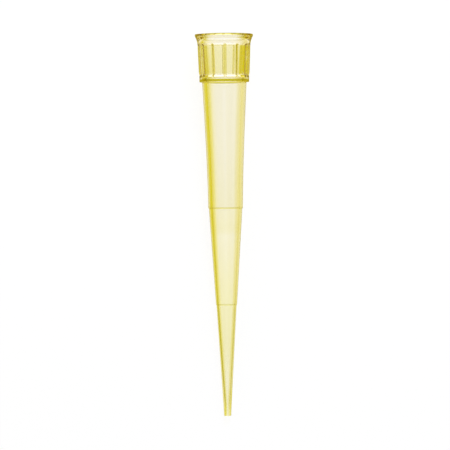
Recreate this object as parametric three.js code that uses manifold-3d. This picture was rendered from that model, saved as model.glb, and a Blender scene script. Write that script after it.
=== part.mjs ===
// A yellow pipette tip of the 200 microlitre size: one thin-walled polypropylene moulding.
// It has a flared mouth, a collar with upright ribs and a foot flange, a slender body that
// tapers in three stages past two moulded volume marks, and a bore from the mouth to the
// fine end. Millimetres, +Z up. The tip lies on its side as it comes to rest, on the mouth's
// edge and the fine end, with the mouth towards +Y.

import * as THREE from "three";
import { mergeVertices } from "three/addons/utils/BufferGeometryUtils.js";
import Module from "manifold-3d";

// Stages along the axis, from the mouth to the fine end
const lipLength = 0.25; // straight edge round the mouth
const flareLength = 1.03; // from the lip to the ribbed part of the collar
const ribLength = 3.72; // the ribs at their full height
const ribEndLength = 0.3; // where the ribs drop to the flange's diameter
const coveLength = 0.42; // from there to the flange's upper edge
const flangeThickness = 0.53;
const bodyLength = 16.5; // from the flange's underside to the first mark
const upperConeLength = 12.67; // from the first mark to the second
const lowerConeLength = 13.08; // from the second mark to the nozzle
const nozzleLength = 1.5;

// Outside diameters
const mouthDiameter = 7.64;
const collarTopDiameter = 6.97; // over the ribs, under the flare
const ribEndDiameter = 6.68; // over the ribs, at their lower ends
const flangeDiameter = 6.54;
const bodyTopDiameter = 5.84; // under the flange
const firstMarkDiameter = 4.54;
const secondMarkDiameter = 2.76;
const nozzleTopDiameter = 1.06;
const endDiameter = 0.92;

// Volume marks: how far the body steps in below each one
const firstMarkStep = 0.07;
const secondMarkStep = 0.06;

// Walls and bore
const bevelDiameter = 6.26; // of the lead-in bevel, at the mouth's face
const seatDiameter = 5.52; // of the bore under the bevel, where the pipette's nozzle goes in
const bevelDepth = 0.5;
const bodyWall = 0.59; // under the flange
const firstMarkWall = 0.53;
const secondMarkWall = 0.29;
const nozzleBore = 0.52; // diameter

// Collar panels between the ribs
const ribCount = 12;
const ribWidth = 0.28;
const ribHeight = 0.26; // how far the panels lie below the ribs
const panelShoulder = 0.2; // slope from the flare down to the panels
const panelCove = 0.45; // slope from the panels out to the flange

// Sweep of the body: where its two end tangents meet, as a share of its length
const bodySweep = 0.66;
const bodyEndSlope = 0.01; // radius lost per millimetre just above the first mark

// How the tip lies: the turn of its ribs about the axis, and the facets of its round walls.
// The number of facets is a multiple of four, so that a flat one faces the bench.
const ribTurn = 2; // degrees
const facets = 28;
const bodySections = 8;
const flareSections = 4;

// Depths below the mouth
const flareStart = lipLength;
const flareEnd = flareStart + flareLength;
const ribEnd = flareEnd + ribLength;
const flangeTop = ribEnd + ribEndLength + coveLength;
const collarFoot = flangeTop + flangeThickness;
const firstMark = collarFoot + bodyLength;
const secondMark = firstMark + upperConeLength;
const nozzleTop = secondMark + lowerConeLength;
const tipEnd = nozzleTop + nozzleLength;

// Radii
const mouthRadius = mouthDiameter / 2;
const collarTopRadius = collarTopDiameter / 2;
const ribEndRadius = ribEndDiameter / 2;
const flangeRadius = flangeDiameter / 2;
const bodyTopRadius = bodyTopDiameter / 2;
const firstMarkRadius = firstMarkDiameter / 2;
const secondMarkRadius = secondMarkDiameter / 2;
const nozzleTopRadius = nozzleTopDiameter / 2;
const endRadius = endDiameter / 2;
const boreEndRadius = nozzleBore / 2;

const { lerp } = THREE.MathUtils;

// A point of a profile: the axis is the lathe's Y axis, with the mouth at 0
function at(depth, radius) {
  return new THREE.Vector2(radius, -depth);
}

function sweep(start, control, end, sections) {
  return new THREE.QuadraticBezierCurve(start, control, end).getPoints(sections);
}

function ribbedRadius(depth) {
  return lerp(collarTopRadius, ribEndRadius, (depth - flareEnd) / ribLength);
}

// The flare starts steeply at the lip and runs out almost straight into the ribs
function flareProfile() {
  const middle = at(lerp(flareStart, flareEnd, 0.42), lerp(collarTopRadius, mouthRadius, 0.22));
  return sweep(at(flareStart, mouthRadius), middle, at(flareEnd, collarTopRadius), flareSections);
}

function bodyProfile() {
  const depth = lerp(collarFoot, firstMark, bodySweep);
  const radius = firstMarkRadius + bodyEndSlope * (firstMark - depth);
  const top = at(collarFoot, bodyTopRadius);
  return sweep(top, at(depth, radius), at(firstMark, firstMarkRadius), bodySections);
}

// The bore tapers through the collar, where the pipette's nozzle sits, and then follows the
// body down to the nozzle's straight hole
function boreProfile() {
  const besideBody = bodyProfile().map((point, index) => {
    const wall = lerp(bodyWall, firstMarkWall, index / bodySections);
    return new THREE.Vector2(point.x - wall, point.y);
  });
  return [
    at(0, bevelDiameter / 2),
    at(bevelDepth, seatDiameter / 2),
    ...besideBody,
    at(secondMark, secondMarkRadius - secondMarkWall),
    at(nozzleTop, boreEndRadius),
    at(tipEnd, boreEndRadius),
  ];
}

function outsideProfile() {
  return [
    at(0, mouthRadius),
    ...flareProfile(),
    at(ribEnd, ribEndRadius),
    at(ribEnd + ribEndLength, flangeRadius),
    at(collarFoot, flangeRadius),
    ...bodyProfile(),
    at(firstMark, firstMarkRadius - firstMarkStep),
    at(secondMark, secondMarkRadius),
    at(secondMark, secondMarkRadius - secondMarkStep),
    at(nozzleTop, nozzleTopRadius),
    at(tipEnd, endRadius),
  ];
}

function turned(profile) {
  const closed = [...profile, profile[0]];
  return new THREE.LatheGeometry(closed, facets, Math.PI / facets);
}

// The whole tip with a smooth collar, as thick as its ribs
function blankGeometry() {
  return turned([...boreProfile(), ...outsideProfile().reverse()]);
}

// A ring round the collar whose inner side is the surface of the panels
function panelRingGeometry() {
  const outside = mouthRadius + ribHeight;
  const panelTop = flareEnd + panelShoulder;
  const coveStart = flangeTop - panelCove;
  return turned([
    at(flareEnd, collarTopRadius),
    at(panelTop, ribbedRadius(panelTop) - ribHeight),
    at(coveStart, ribbedRadius(coveStart) - ribHeight),
    at(flangeTop, flangeRadius),
    at(flangeTop, outside),
    at(flareEnd, outside),
  ]);
}

// An upright bar that keeps one rib out of the cut
function ribGeometry(index) {
  const reach = mouthRadius * 2;
  const bar = new THREE.BoxGeometry(ribWidth, tipEnd, reach);
  bar.translate(0, 0, reach / 2);
  const angle = ribTurn + (index * 360) / ribCount;
  return bar.rotateY(THREE.MathUtils.degToRad(angle));
}

const wasm = await Module();
wasm.setup();

function solidOf(geometry) {
  const bare = geometry.clone();
  bare.deleteAttribute("normal");
  bare.deleteAttribute("uv");
  const merged = mergeVertices(bare, 1e-5);
  const vertProperties = new Float32Array(merged.attributes.position.array);
  const triVerts = new Uint32Array(merged.index.array);
  return new wasm.Manifold(new wasm.Mesh({ numProp: 3, vertProperties, triVerts }));
}

function geometryOf(solid) {
  const mesh = solid.getMesh();
  const geometry = new THREE.BufferGeometry();
  geometry.setAttribute("position", new THREE.BufferAttribute(mesh.vertProperties, 3));
  geometry.setIndex(new THREE.BufferAttribute(mesh.triVerts, 1));
  geometry.computeVertexNormals();
  return geometry;
}

function tipGeometry() {
  let panels = solidOf(panelRingGeometry());
  for (let index = 0; index < ribCount; index += 1) {
    panels = panels.subtract(solidOf(ribGeometry(index)));
  }
  return geometryOf(solidOf(blankGeometry()).subtract(panels));
}

const polypropylene = new THREE.MeshStandardMaterial({
  color: 0xf0dc6e,
  roughness: 0.18,
  metalness: 0,
  transparent: true,
  opacity: 0.7,
});

const tip = new THREE.Mesh(tipGeometry(), polypropylene);
tip.name = "pipette_tip";

// It lies with the lower edges of the mouth's lip and of the fine end on the bench
const drop = Math.cos(Math.PI / facets) * (mouthRadius - endRadius);
tip.rotation.x = Math.atan(drop / (tipEnd - flareStart));

const part = new THREE.Group();
part.add(tip);
part.updateMatrixWorld(true);

// Origin: the centre of the box round the tip, on the bench
const box = new THREE.Box3().setFromObject(part, true);
const middle = box.getCenter(new THREE.Vector3());
tip.position.set(-middle.x, -middle.y, -box.min.z);

export default part;
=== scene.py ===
"""Looks of a yellow pipette tip that lies on a white bench: one clear polypropylene moulding.

The fine mesh of the tip replaces the faceted CAD node. It follows the same stages, with round
walls, softened edges and ribs that blend into the collar. Metres throughout."""

import math

import bpy
import mathutils
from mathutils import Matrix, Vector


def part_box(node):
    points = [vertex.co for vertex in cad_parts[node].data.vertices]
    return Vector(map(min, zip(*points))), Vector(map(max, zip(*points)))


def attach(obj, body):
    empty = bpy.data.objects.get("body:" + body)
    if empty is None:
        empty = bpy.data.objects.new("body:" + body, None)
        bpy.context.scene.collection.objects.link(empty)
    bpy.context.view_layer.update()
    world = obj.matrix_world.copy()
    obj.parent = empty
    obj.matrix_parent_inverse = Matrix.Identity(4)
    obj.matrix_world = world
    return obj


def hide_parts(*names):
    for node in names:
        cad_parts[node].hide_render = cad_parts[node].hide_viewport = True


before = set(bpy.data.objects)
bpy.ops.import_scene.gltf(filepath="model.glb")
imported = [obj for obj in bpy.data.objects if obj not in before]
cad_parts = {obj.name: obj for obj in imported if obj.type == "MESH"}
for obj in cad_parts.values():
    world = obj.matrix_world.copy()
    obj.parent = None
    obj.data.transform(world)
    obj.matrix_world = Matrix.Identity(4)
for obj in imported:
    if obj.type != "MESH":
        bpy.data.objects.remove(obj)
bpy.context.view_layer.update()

MM = 0.001

# The tip's stages along its axis, as depths below the mouth
LIP_EDGE = 0.25 * MM
FLARE_END = 1.28 * MM
RIB_END = 5.0 * MM
FLANGE_START = 5.3 * MM  # where the ribs have dropped to the flange's radius
FLANGE_TOP = 5.72 * MM
COLLAR_FOOT = 6.25 * MM
FIRST_MARK = 22.75 * MM
SECOND_MARK = 35.42 * MM
NOZZLE_TOP = 48.5 * MM
TIP_END = 50.0 * MM

# Outside radii
MOUTH_RADIUS = 3.82 * MM
COLLAR_TOP_RADIUS = 3.485 * MM  # over the ribs
RIB_END_RADIUS = 3.34 * MM
FLANGE_RADIUS = 3.27 * MM
BODY_TOP_RADIUS = 2.92 * MM
FIRST_MARK_RADIUS = 2.27 * MM
SECOND_MARK_RADIUS = 1.38 * MM
NOZZLE_TOP_RADIUS = 0.53 * MM
END_RADIUS = 0.46 * MM
FIRST_MARK_STEP = 0.07 * MM
SECOND_MARK_STEP = 0.06 * MM

# Where the end tangents of the curved stages meet, as shares of their length and spread
FLARE_BEND_DEPTH = 0.42
FLARE_BEND_SPREAD = 0.22
BODY_BEND_DEPTH = 0.66

# How fast the radius shrinks down the body, just above the first mark and on the two cones
BODY_END_SLOPE = 0.01
UPPER_CONE_SLOPE = (FIRST_MARK_RADIUS - FIRST_MARK_STEP - SECOND_MARK_RADIUS) / (
    SECOND_MARK - FIRST_MARK
)
LOWER_CONE_SLOPE = (SECOND_MARK_RADIUS - SECOND_MARK_STEP - NOZZLE_TOP_RADIUS) / (
    NOZZLE_TOP - SECOND_MARK
)

# Walls and bore
BEVEL_RADIUS = 3.13 * MM  # of the lead-in bevel, at the mouth's face
BEVEL_DEPTH = 0.5 * MM
SEAT_RADIUS = 2.76 * MM  # under the bevel
BODY_WALL = 0.59 * MM
FIRST_MARK_WALL = 0.53 * MM
SECOND_MARK_WALL = 0.29 * MM
BORE_END_RADIUS = 0.26 * MM

# Collar
RIB_COUNT = 12
RIB_TURN = math.radians(2)
RIB_WIDTH = 0.28 * MM
RIB_HEIGHT = 0.26 * MM
PANEL_SHOULDER = 0.2 * MM
PANEL_COVE = 0.45 * MM
RIB_SOFTNESS = 0.1 * MM  # how far a rib's side spreads round the collar

# Edges
EDGE_ROUNDING = 0.05 * MM
EDGE_STEPS = 4
LONGEST_CUT = 0.45  # share of a side that the rounding of a corner takes at most
GENTLE_TURN = math.radians(6)  # corners of the outline under this need no rounding

# Fineness of the mesh
FLARE_SECTIONS = 10
BODY_SECTIONS = 24
COLLAR_STEP = 0.065 * MM  # longest step along the outline, on the outside of the collar
PLAIN_STEP = 0.5 * MM  # and everywhere else
COLLAR_OUTSIDE = 3.0 * MM  # a step wholly beyond this radius counts as the collar's outside
COLLAR_MARGIN = 0.1 * MM  # how far below the collar's foot the short steps go
MARK_REACHES = (0.04 * MM, 0.08 * MM, 0.12 * MM)  # of the close rings on both sides of a mark
SIDE_COLUMNS = (-0.5, 0.0, 0.5, 1.0, 1.6)  # places from a rib's edge, in its sides' softness
PANEL_COLUMNS = 4  # from beside a rib to the middle of the panel

# How deep the plastic's amber looks, from 0 where it is clearest to 1 on the thickest ring. It is
# the plastic's yellow, deepened by painted shade: the darker amber that refraction gives the clear
# wall on the rim, ribs, panels, flange, marks and body. The body has pairs of a depth below the
# mouth, in millimetres, and the amber there
RIM_SHADE_AMBER = 0.42
PANEL_SHADE_AMBER = 0.17
RIB_SHADE_AMBER = 0.45
RIB_END_SHARE = 0.3  # of the ribs' amber, left where they end above the flange
FLANGE_SHADE_AMBER = 1.0
BODY_SHADE_AMBER = (
    (6.3, 0.02),
    (15.0, 0.04),
    (22.8, 0.09),
    (25.7, 0.13),
    (26.2, 0.08),
    (36.0, 0.19),
    (41.0, 0.20),
    (46.0, 0.13),
    (48.5, 0.20),
)
# The marks' amber is painted shade: the dark line that refraction draws at each step
MARK_SHADE_AMBER = 0.5
SHADE_AMBER_FADE = 0.1 * MM  # length over which the lip's and the collar's amber fade
FLANGE_SHADE_START = 0.18 * MM  # below the flange's top
FLANGE_SHADE_FADE = 0.06 * MM
FLANGE_EDGE = 0.1 * MM  # width of the rim of its underside that keeps the flange's amber
DEPTH_SLACK = 0.01 * MM  # how far above the collar's foot the body's amber may start
# The tint for each depth of amber, from clear white to the deepest painted shade
SHADED_AMBER_COLOURS = (
    (0.0, (1.0, 1.0, 1.0)),
    (0.15, (0.95, 0.925, 0.66)),
    (0.4, (0.86, 0.83, 0.3)),
    (1.0, (0.63, 0.565, 0.03)),
)

# Polypropylene
PLASTIC_ROUGHNESS = 0.03
PLASTIC_IOR = 1.49
SHADOW_COLOUR = (0.96, 0.92, 0.7)  # of light that reaches the bench through the tip
DYE_COLOUR = (0.842, 0.744, 0.332)
DYE_DENSITY = 340.0

LIGHT_BOUNCES = 32  # light runs far inside the clear walls

# The round walls of the CAD solid have flat facets, and the fine mesh stays inside them
CAD_FACETS = 28
INSIDE_FACETS = math.cos(math.pi / CAD_FACETS)


def lerp(start, end, share):
    return start + (end - start) * share


def smooth(value):
    """0 up to 0 and 1 from 1 on, with a soft start and end between them."""
    share = min(max(value, 0.0), 1.0)
    return share * share * (3.0 - 2.0 * share)


def curve(start, control, end, sections):
    """Points of a quadratic Bezier curve."""

    def point(share):
        return tuple(
            lerp(lerp(a, b, share), lerp(b, c, share), share)
            for a, b, c in zip(start, control, end)
        )

    return [point(i / sections) for i in range(sections + 1)]


def flare_points():
    """From the lip's lower edge to the top of the ribs."""
    control = (
        lerp(LIP_EDGE, FLARE_END, FLARE_BEND_DEPTH),
        lerp(COLLAR_TOP_RADIUS, MOUTH_RADIUS, FLARE_BEND_SPREAD),
    )
    start, end = (LIP_EDGE, MOUTH_RADIUS), (FLARE_END, COLLAR_TOP_RADIUS)
    return curve(start, control, end, FLARE_SECTIONS)


def body_points():
    """From the flange's underside to the first mark."""
    depth = lerp(COLLAR_FOOT, FIRST_MARK, BODY_BEND_DEPTH)
    control = (depth, FIRST_MARK_RADIUS + BODY_END_SLOPE * (FIRST_MARK - depth))
    start, end = (COLLAR_FOOT, BODY_TOP_RADIUS), (FIRST_MARK, FIRST_MARK_RADIUS)
    return curve(start, control, end, BODY_SECTIONS)


def ribbed_radius(depth):
    return lerp(COLLAR_TOP_RADIUS, RIB_END_RADIUS, (depth - FLARE_END) / (RIB_END - FLARE_END))


def heading(start, end):
    return math.atan2(end[1] - start[1], end[0] - start[0])


def rounded(points):
    """The same outline with each of its sharp corners cut to a small arc."""
    result = [points[0]]
    for before, corner, after in zip(points, points[1:], points[2:]):
        turn = math.remainder(heading(corner, after) - heading(before, corner), 2 * math.pi)
        if abs(turn) < GENTLE_TURN:
            result.append(corner)
            continue
        reach = [math.dist(before, corner), math.dist(corner, after)]
        cut = min(EDGE_ROUNDING, LONGEST_CUT * min(reach))
        turn_in = tuple(lerp(c, b, cut / reach[0]) for b, c in zip(before, corner))
        turn_out = tuple(lerp(c, a, cut / reach[1]) for a, c in zip(after, corner))
        result += curve(turn_in, corner, turn_out, EDGE_STEPS)
    return result + [points[-1]]


def longest_step(start, end):
    above_body = max(start[0], end[0]) < COLLAR_FOOT + COLLAR_MARGIN
    outside = min(start[1], end[1]) > COLLAR_OUTSIDE
    return COLLAR_STEP if above_body and outside else PLAIN_STEP


def spread(points):
    """The same outline in shorter steps."""
    result = [points[0]]
    for start, end in zip(points, points[1:]):
        count = max(1, math.ceil(math.dist(start, end) / longest_step(start, end)))
        result += [
            tuple(lerp(a, b, i / count) for a, b in zip(start, end))
            for i in range(1, count + 1)
        ]
    return result


def beside_mark(depth, radius, step, slope_above, slope_below):
    """The outline's corners at a mark, with close ones above and below it."""
    above = [(depth - reach, radius + slope_above * reach) for reach in reversed(MARK_REACHES)]
    below = [(depth + reach, radius - step - slope_below * reach) for reach in MARK_REACHES]
    return [*above, (depth, radius), (depth, radius - step), *below]


def outside_outline():
    """From the mouth's outer edge down to the fine end, as depth and radius."""
    return [
        (0.0, MOUTH_RADIUS),
        *flare_points(),
        (RIB_END, RIB_END_RADIUS),
        (FLANGE_START, FLANGE_RADIUS),
        (COLLAR_FOOT, FLANGE_RADIUS),
        *body_points()[:-1],
        *beside_mark(
            FIRST_MARK, FIRST_MARK_RADIUS, FIRST_MARK_STEP, BODY_END_SLOPE, UPPER_CONE_SLOPE
        ),
        *beside_mark(
            SECOND_MARK, SECOND_MARK_RADIUS, SECOND_MARK_STEP, UPPER_CONE_SLOPE, LOWER_CONE_SLOPE
        ),
        (NOZZLE_TOP, NOZZLE_TOP_RADIUS),
        (TIP_END, END_RADIUS),
    ]


def bore_outline():
    """From the fine end up to the mouth's inner edge, as depth and radius."""
    beside_body = [
        (depth, radius - lerp(BODY_WALL, FIRST_MARK_WALL, i / BODY_SECTIONS))
        for i, (depth, radius) in enumerate(body_points())
    ]
    return [
        (TIP_END, BORE_END_RADIUS),
        (NOZZLE_TOP, BORE_END_RADIUS),
        (SECOND_MARK, SECOND_MARK_RADIUS - SECOND_MARK_WALL),
        *reversed(beside_body),
        (BEVEL_DEPTH, SEAT_RADIUS),
        (0.0, BEVEL_RADIUS),
    ]


def outline():
    """The closed outline of the wall, with softened edges. It starts on the mouth's face."""
    start = (0.0, (MOUTH_RADIUS + BEVEL_RADIUS) / 2)
    corners = [start, *outside_outline(), *bore_outline(), start]
    return spread(rounded(corners))[:-1]


def panel_radius(depth):
    """Radius of the panels between the ribs."""
    shoulder = smooth((depth - FLARE_END) / PANEL_SHOULDER)
    cove = smooth((FLANGE_TOP - depth) / PANEL_COVE)
    recessed = ribbed_radius(depth) - RIB_HEIGHT * shoulder
    return lerp(FLANGE_RADIUS, recessed, cove)


def column_angles():
    """Each column's angle round the axis and its angle from the nearest rib. The columns are
    close together at the sides of the ribs."""
    pitch = 2 * math.pi / RIB_COUNT
    half = RIB_WIDTH / 2 / COLLAR_TOP_RADIUS
    soft = RIB_SOFTNESS / COLLAR_TOP_RADIUS
    side = [half + soft * share for share in SIDE_COLUMNS]
    panel = [lerp(side[-1], pitch / 2, i / PANEL_COLUMNS) for i in range(1, PANEL_COLUMNS)]
    one_side = [half * 0.5, *side, *panel]
    offsets = [-a for a in reversed(one_side)] + [0.0, *one_side, pitch / 2]
    return [
        (RIB_TURN + index * pitch + offset, offset)
        for index in range(RIB_COUNT)
        for offset in offsets
    ]


def rib_share(offset, radius):
    """1 on top of a rib, 0 on the panel beside it."""
    distance = abs(offset) * radius
    return 1.0 - smooth((distance - (RIB_WIDTH - RIB_SOFTNESS) / 2) / RIB_SOFTNESS)


def tip_pose():
    """Angle of the axis above the bench, and the place of the mouth's centre."""
    low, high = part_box("pipette_tip")
    drop = INSIDE_FACETS * (MOUTH_RADIUS - END_RADIUS)
    angle = math.atan(drop / (TIP_END - LIP_EDGE))
    rise = MOUTH_RADIUS * INSIDE_FACETS * math.cos(angle) + LIP_EDGE * math.sin(angle)
    reach = MOUTH_RADIUS * INSIDE_FACETS * math.sin(angle)
    return angle, ((low.x + high.x) / 2, high.y - reach, low.z + rise)


def body_shade_amber(depth):
    """Painted shade amber of the body, from its table of depths."""
    for (start, before), (end, after) in zip(BODY_SHADE_AMBER, BODY_SHADE_AMBER[1:]):
        if depth < end * MM:
            return lerp(before, after, max(0.0, (depth - start * MM) / ((end - start) * MM)))
    return BODY_SHADE_AMBER[-1][1]


def painted_shade_amber(depth, radius, rib):
    """Depth of the amber on the outside of the wall: painted shade that deepens the plastic's
    yellow.
    """
    if depth > COLLAR_FOOT - DEPTH_SLACK and radius < FLANGE_RADIUS - FLANGE_EDGE:
        from_mark = min(abs(depth - FIRST_MARK), abs(depth - SECOND_MARK))
        return max(body_shade_amber(depth), MARK_SHADE_AMBER * smooth(1.0 - from_mark / MARK_REACHES[-1]))
    rim = RIM_SHADE_AMBER * smooth((LIP_EDGE - depth) / SHADE_AMBER_FADE)
    down = smooth((depth - FLARE_END) / PANEL_SHOULDER)
    up = smooth((FLANGE_TOP - PANEL_COVE - depth) / SHADE_AMBER_FADE)
    flange = smooth((depth - FLANGE_TOP - FLANGE_SHADE_START) / FLANGE_SHADE_FADE)
    rib_shade_amber = RIB_SHADE_AMBER * min(down, max(up, RIB_END_SHARE))
    collar = lerp(PANEL_SHADE_AMBER * min(down, up), rib_shade_amber, rib)
    return max(rim, collar, FLANGE_SHADE_AMBER * flange)


def grid_faces(rings, around):
    """Quads between neighbouring rings and columns, closed both ways."""
    return [
        (
            ring * around + column,
            (ring + 1) % rings * around + column,
            (ring + 1) % rings * around + (column + 1) % around,
            ring * around + (column + 1) % around,
        )
        for ring in range(rings)
        for column in range(around)
    ]


def tip_mesh():
    """Rings along the outline and columns round the axis, with the amber of each point, which is
    painted shade.
    """
    angle, centre = tip_pose()
    stations = outline()
    columns = column_angles()
    # The stations run down the outside to the outer edge of the fine end, and then up the bore
    end_edge = max(range(len(stations)), key=lambda i: stations[i])
    points, amber_of_painted_light = [], []
    for index, (depth, radius) in enumerate(stations):
        outside = index <= end_edge
        for turn, offset in columns:
            reach, rib = radius, rib_share(offset, radius)
            if outside and FLARE_END < depth < FLANGE_TOP:
                reach = lerp(min(radius, panel_radius(depth)), radius, rib)
            reach *= INSIDE_FACETS
            amber_of_painted_light.append(painted_shade_amber(depth, radius, rib) if outside else 0.0)
            side, up = reach * math.sin(turn), reach * math.cos(turn)
            points.append(
                (
                    centre[0] + side,
                    centre[1] - depth * math.cos(angle) - up * math.sin(angle),
                    centre[2] - depth * math.sin(angle) + up * math.cos(angle),
                )
            )
    mesh = bpy.data.meshes.new("tip_fine")
    mesh.from_pydata(points, [], grid_faces(len(stations), len(columns)))
    mesh.shade_smooth()
    mesh.attributes.new("amber_of_painted_light", "FLOAT", "POINT").data.foreach_set("value", amber_of_painted_light)
    mesh.validate()
    return mesh


def new_object(name, data):
    item = bpy.data.objects.new(name, data)
    bpy.context.scene.collection.objects.link(item)
    return item


def new_material(name):
    material = bpy.data.materials.new(name)
    material.use_nodes = True
    material.node_tree.nodes.clear()
    return material, material.node_tree.nodes, material.node_tree.links


def set_stops(ramp, table):
    """Give a colour ramp one stop for each pair of a place and a colour."""
    stops = ramp.color_ramp.elements
    while len(stops) < len(table):
        stops.new(0.5)
    while len(stops) > len(table):
        stops.remove(stops[-1])
    for stop, (place, colour) in zip(stops, table):
        stop.position = place
        stop.color = (*colour, 1.0)


def coloured(nodes, kind, colour):
    """The shader of a new node with this colour."""
    node = nodes.new(kind)
    node.inputs["Color"].default_value = (*colour, 1.0)
    return node.outputs[0]


def mixed(nodes, links, share, first, second):
    """The first shader where the share is 0, and the second where it is 1."""
    mix = nodes.new("ShaderNodeMixShader")
    links.new(share, mix.inputs["Fac"])
    links.new(first, mix.inputs[1])
    links.new(second, mix.inputs[2])
    return mix.outputs["Shader"]


def polypropylene():
    """Clear yellow plastic, tinted on its surface by the amber of each point: painted shade that
    deepens the yellow where refraction darkens the wall. It lets the lamp through to the bench,
    which gets a faint shadow."""
    material, nodes, links = new_material("tip_polypropylene")
    output = nodes.new("ShaderNodeOutputMaterial")
    body = nodes.new("ShaderNodeBsdfPrincipled")
    body.inputs["Roughness"].default_value = PLASTIC_ROUGHNESS
    body.inputs["IOR"].default_value = PLASTIC_IOR
    body.inputs["Transmission Weight"].default_value = 1.0
    amber_of_painted_light = nodes.new("ShaderNodeAttribute")
    amber_of_painted_light.attribute_name = "amber_of_painted_light"
    painted_shade_tint = nodes.new("ShaderNodeValToRGB")
    set_stops(painted_shade_tint, SHADED_AMBER_COLOURS)
    links.new(amber_of_painted_light.outputs["Fac"], painted_shade_tint.inputs["Fac"])
    links.new(painted_shade_tint.outputs["Color"], body.inputs["Base Color"])
    shadow = nodes.new("ShaderNodeLightPath").outputs["Is Shadow Ray"]
    through = coloured(nodes, "ShaderNodeBsdfTransparent", SHADOW_COLOUR)
    surface = mixed(nodes, links, shadow, body.outputs["BSDF"], through)
    links.new(surface, output.inputs["Surface"])
    dye = nodes.new("ShaderNodeVolumeAbsorption")
    dye.inputs["Color"].default_value = (*DYE_COLOUR, 1.0)
    dye.inputs["Density"].default_value = DYE_DENSITY
    links.new(dye.outputs["Volume"], output.inputs["Volume"])
    return material


def make_tip():
    mesh = tip_mesh()
    mesh.materials.append(polypropylene())
    tip = new_object("tip_moulding", mesh)
    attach(tip, "root")
    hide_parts("pipette_tip")


def level_sheet(name, material, x_range, y_range, height):
    """A flat rectangle at one height."""
    (left, right), (low, high) = x_range, y_range
    corners = [(left, low), (right, low), (right, high), (left, high)]
    mesh = bpy.data.meshes.new(name)
    mesh.from_pydata([(x, y, height) for x, y in corners], [], [(0, 1, 2, 3)])
    mesh.materials.append(material)
    return new_object(name, mesh)


BENCH_REACH = 0.6
BENCH_COLOUR = (0.9, 0.9, 0.9)
BENCH_GLOW_SHARE = 0.9  # of the bench's white, which is its own glow and takes no shadow
# Glow of the bench in the tip's reflections: a painted reflection in amber
BENCH_PAINTED_REFLECTION = (0.57, 0.48, 0.04)


def make_floor():
    """A white bench. The camera sees it white, with the tip's faint shadow. The tip's reflections
    show it in amber, a painted reflection. What is seen through the tip looks past it, into the
    tent of painted shade and highlights below."""
    material, nodes, links = new_material("bench_white")
    output = nodes.new("ShaderNodeOutputMaterial")
    matt = coloured(nodes, "ShaderNodeBsdfDiffuse", BENCH_COLOUR)
    glow = coloured(nodes, "ShaderNodeEmission", (1.0, 1.0, 1.0))
    amber_of_painted_light = coloured(nodes, "ShaderNodeEmission", BENCH_PAINTED_REFLECTION)
    clear = nodes.new("ShaderNodeBsdfTransparent").outputs["BSDF"]
    rays = nodes.new("ShaderNodeLightPath").outputs
    share = nodes.new("ShaderNodeMath")
    share.operation = "MULTIPLY"
    share.inputs[1].default_value = BENCH_GLOW_SHARE
    links.new(rays["Is Camera Ray"], share.inputs[0])
    white = mixed(nodes, links, share.outputs["Value"], matt, glow)
    painted_reflection = mixed(nodes, links, rays["Is Glossy Ray"], white, amber_of_painted_light)
    surface = mixed(nodes, links, rays["Is Transmission Ray"], painted_reflection, clear)
    links.new(surface, output.inputs["Surface"])
    span = (-BENCH_REACH, BENCH_REACH)
    floor = level_sheet("bench", material, span, span, 0.0)


# The card's reach to the right of the tip's axis, its depths below the mouth and its height
CARD_SIDES = (2.8 * MM, 40 * MM)
CARD_START = 1.2 * MM
CARD_END = 5.3 * MM
CARD_HEIGHT = -0.3 * MM
# Glow of the card: painted shade, seen only through the tip
PAINTED_SHADE_CARD_COLOUR = (0.79, 0.71, 0.02)


def make_painted_shade_card():
    """An amber card under the bench, beside the collar, that glows: painted shade, a deep gold
    strip seen through the collar. Only the clear tip shows it.
    """
    material, nodes, links = new_material("painted_shade_card")
    output = nodes.new("ShaderNodeOutputMaterial")
    glow = coloured(nodes, "ShaderNodeEmission", PAINTED_SHADE_CARD_COLOUR)
    clear = nodes.new("ShaderNodeBsdfTransparent").outputs["BSDF"]
    rays = nodes.new("ShaderNodeLightPath").outputs
    surface = mixed(nodes, links, rays["Is Transmission Ray"], clear, glow)
    links.new(surface, output.inputs["Surface"])
    _, mouth = tip_pose()
    depths = (mouth[1] - CARD_END, mouth[1] - CARD_START)
    shade_card = level_sheet("shade_card", material, CARD_SIDES, depths, CARD_HEIGHT)


LAMP_PLACE = (0.05, 0.3, 0.25)
LAMP_SIZE = 0.12
LAMP_POWER = 1.5


def make_lamp():
    """The lamp lights the bench alone: seen in the tip, it would leave bright specks."""
    light = bpy.data.lights.new("lamp_mouth", "AREA")
    light.size = LAMP_SIZE
    light.energy = LAMP_POWER
    lamp = new_object("lamp_mouth", light)
    lamp.location = LAMP_PLACE
    to_origin = -mathutils.Vector(LAMP_PLACE)
    lamp.rotation_euler = to_origin.to_track_quat("-Z", "Y").to_euler()
    lamp.visible_glossy = False
    lamp.visible_transmission = False


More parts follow.
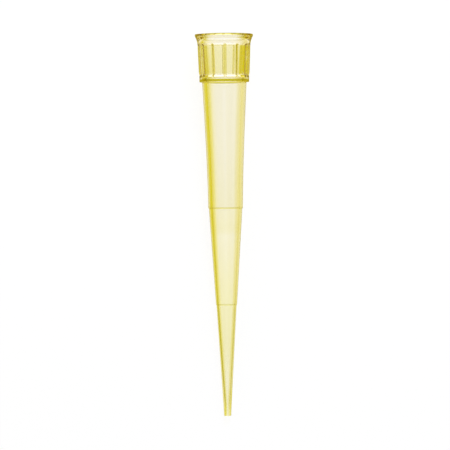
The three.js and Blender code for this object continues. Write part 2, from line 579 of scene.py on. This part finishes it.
# Colours of the tent in rows along X, from its left side to its right side. The tent shows only
# through the tip: painted shade in its dark and gold stretches, and painted highlights where it
# passes 1
PAINTED_TENT_UNDER_MOUTH = (
    (-0.97, (0.96, 0.93, 0.7)),
    (-0.90, (0.80, 0.72, 0.05)),
    (-0.75, (0.80, 0.72, 0.05)),
    (-0.44, (0.82, 0.75, 0.09)),
    (-0.30, (0.88, 0.83, 0.25)),
    (-0.20, (0.94, 0.91, 0.62)),
    (-0.10, (1.0, 1.0, 1.0)),
    (0.13, (1.0, 1.0, 1.0)),
    (0.20, (0.92, 0.89, 0.68)),
    (0.30, (0.91, 0.87, 0.6)),
    (0.42, (0.95, 0.91, 0.55)),
    (0.90, (0.93, 0.87, 0.4)),
    (0.97, (0.96, 0.93, 0.7)),
)
PAINTED_TENT_UNDER_END = (
    (-0.97, (0.96, 0.93, 0.7)),
    (-0.90, (0.40, 0.36, 0.05)),
    (-0.72, (0.40, 0.36, 0.05)),
    (-0.58, (0.58, 0.52, 0.08)),
    (-0.45, (0.54, 0.48, 0.08)),
    (-0.30, (0.72, 0.66, 0.20)),
    (-0.14, (0.85, 0.83, 0.88)),
    (0.11, (0.85, 0.83, 0.88)),
    (0.16, (0.70, 0.64, 0.22)),
    (0.28, (0.72, 0.66, 0.22)),
    (0.42, (0.70, 0.64, 0.20)),
    (0.75, (0.54, 0.48, 0.08)),
    (0.90, (0.50, 0.44, 0.06)),
    (0.97, (0.96, 0.93, 0.7)),
)
PAINTED_TENT_PALE = (
    (-0.80, (0.95, 0.87, 0.25)),
    (-0.52, (1.15, 1.08, 0.6)),
    (-0.30, (1.45, 1.42, 1.2)),
    (0.0, (1.5, 1.5, 1.6)),
    (0.30, (1.45, 1.42, 1.2)),
    (0.70, (1.5, 1.4, 0.95)),
)
PAINTED_TENT_GOLD = ((0.0, (0.86, 0.82, 0.23)),)
PAINTED_TENT_UNDER_FLARE = (
    (-0.90, (0.90, 0.83, 0.3)),
    (-0.30, (1.12, 1.08, 0.9)),
    (0.0, (1.12, 1.12, 1.2)),
    (0.30, (1.12, 1.08, 0.9)),
    (0.90, (0.95, 0.88, 0.35)),
)
# The rows' places along Y, from the side of the fine end to that of the mouth
PAINTED_TENT_ROWS = (
    (-0.42, PAINTED_TENT_GOLD),
    (-0.37, PAINTED_TENT_PALE),
    (-0.19, PAINTED_TENT_PALE),
    (-0.13, PAINTED_TENT_UNDER_END),
    (0.03, PAINTED_TENT_UNDER_MOUTH),
    (0.16, PAINTED_TENT_UNDER_MOUTH),
    (0.36, PAINTED_TENT_UNDER_FLARE),
)
PAINTED_TENT_STRENGTH = 1.02
ROOM_UPWARDS = ((0.3, (0.9, 0.9, 0.9)), (0.9, (0.4, 0.4, 0.4)))
ROOM_PAINTED_REFLECTION = (1.0, 0.95, 0.4)  # painted reflection: a warm tint of the room, where the tip mirrors it


def painted_tent_colour(nodes, links, across, along):
    """The tent's colour in each direction, from how far it points across and along: painted shade
    and highlights for what the tip shows.
    """

    def share_of(value, start, end):
        share = nodes.new("ShaderNodeMapRange")
        share.inputs["From Min"].default_value = start
        share.inputs["From Max"].default_value = end
        links.new(value, share.inputs["Value"])
        return share.outputs["Result"]

    def row_colour(table):
        stops = nodes.new("ShaderNodeValToRGB")
        set_stops(stops, [((place + 1.0) / 2.0, shade) for place, shade in table])
        links.new(share_of(across, -1.0, 1.0), stops.inputs["Fac"])
        return stops.outputs["Color"]

    colour = row_colour(PAINTED_TENT_ROWS[0][1])
    for (start, _), (end, table) in zip(PAINTED_TENT_ROWS, PAINTED_TENT_ROWS[1:]):
        blend = nodes.new("ShaderNodeMix")
        blend.data_type = "RGBA"
        links.new(share_of(along, start, end), blend.inputs["Factor"])
        links.new(colour, blend.inputs["A"])
        links.new(row_colour(table), blend.inputs["B"])
        colour = blend.outputs["Result"]
    return colour


def room_colour(nodes, links, upwards, painted_reflection):
    """The room's grey, which darkens upwards, with a painted reflection: warm where the tip
    mirrors it.
    """
    dome = nodes.new("ShaderNodeValToRGB")
    set_stops(dome, ROOM_UPWARDS)
    links.new(upwards, dome.inputs["Fac"])
    painted_warmth = nodes.new("ShaderNodeMix")
    painted_warmth.data_type = "RGBA"
    painted_warmth.blend_type = "MULTIPLY"
    links.new(painted_reflection, painted_warmth.inputs["Factor"])
    links.new(dome.outputs["Color"], painted_warmth.inputs["A"])
    painted_warmth.inputs["B"].default_value = (*ROOM_PAINTED_REFLECTION, 1.0)
    return painted_warmth.outputs["Result"]


def make_world():
    """A pale room, and a tent of painted shade and highlights that shows only through the tip."""
    world = bpy.data.worlds.new("studio")
    world.use_nodes = True
    nodes, links = world.node_tree.nodes, world.node_tree.links
    nodes.clear()
    output = nodes.new("ShaderNodeOutputWorld")
    where = nodes.new("ShaderNodeTexCoord")
    parts = nodes.new("ShaderNodeSeparateXYZ")
    links.new(where.outputs["Generated"], parts.inputs["Vector"])
    x, y, z = parts.outputs
    rays = nodes.new("ShaderNodeLightPath").outputs
    room = nodes.new("ShaderNodeBackground")
    links.new(room_colour(nodes, links, z, rays["Is Glossy Ray"]), room.inputs["Color"])
    painted_tent = nodes.new("ShaderNodeBackground")
    painted_tent.inputs["Strength"].default_value = PAINTED_TENT_STRENGTH
    links.new(painted_tent_colour(nodes, links, x, y), painted_tent.inputs["Color"])
    through_tip = rays["Is Transmission Ray"]
    both = mixed(nodes, links, through_tip, room.outputs["Background"], painted_tent.outputs["Background"])
    links.new(both, output.inputs["Surface"])
    bpy.context.scene.world = world


# The camera looks down, square to the tip's axis a little below the collar. The mouth is at the
# top of the picture
CAMERA_LENS = 210.0
CAMERA_CLIP_START = 0.01
CAMERA_FIELD = 58.95 * MM  # width of the picture at the tip's axis
CAMERA_SQUARE_TO = 17.0 * MM  # depth on the axis that the camera is straight above
CAMERA_AIM = 24.96 * MM  # depth on the axis at the middle of the picture
CAMERA_SIDE = -0.10 * MM  # how far the camera stands to the right of the axis
CAMERA_ROLL = math.radians(0.58)


def make_camera():
    data = bpy.data.cameras.new("camera")
    data.lens = CAMERA_LENS
    data.clip_start = CAMERA_CLIP_START
    angle, mouth = tip_pose()
    down_the_axis = mathutils.Vector((0.0, -math.cos(angle), -math.sin(angle)))
    off_the_axis = mathutils.Vector((0.0, -math.sin(angle), math.cos(angle)))
    distance = CAMERA_FIELD * CAMERA_LENS / data.sensor_width
    start = mathutils.Vector(mouth) + mathutils.Vector((CAMERA_SIDE, 0.0, 0.0))
    place = start + CAMERA_SQUARE_TO * down_the_axis + distance * off_the_axis
    aim = start + CAMERA_AIM * down_the_axis - place
    tilt = mathutils.Matrix.Rotation(-math.atan2(-aim.y, -aim.z), 3, "X")
    roll = mathutils.Matrix.Rotation(-CAMERA_ROLL, 3, "Z")
    camera = new_object("camera", data)
    camera.location = place
    camera.rotation_euler = (tilt @ roll).to_euler()
    bpy.context.scene.camera = camera


bpy.context.scene.view_settings.view_transform = "Standard"
for limit in ("max_bounces", "transmission_bounces", "glossy_bounces"):
    setattr(bpy.context.scene.cycles, limit, LIGHT_BOUNCES)
make_camera()
make_tip()
make_floor()
make_painted_shade_card()
make_lamp()
make_world()
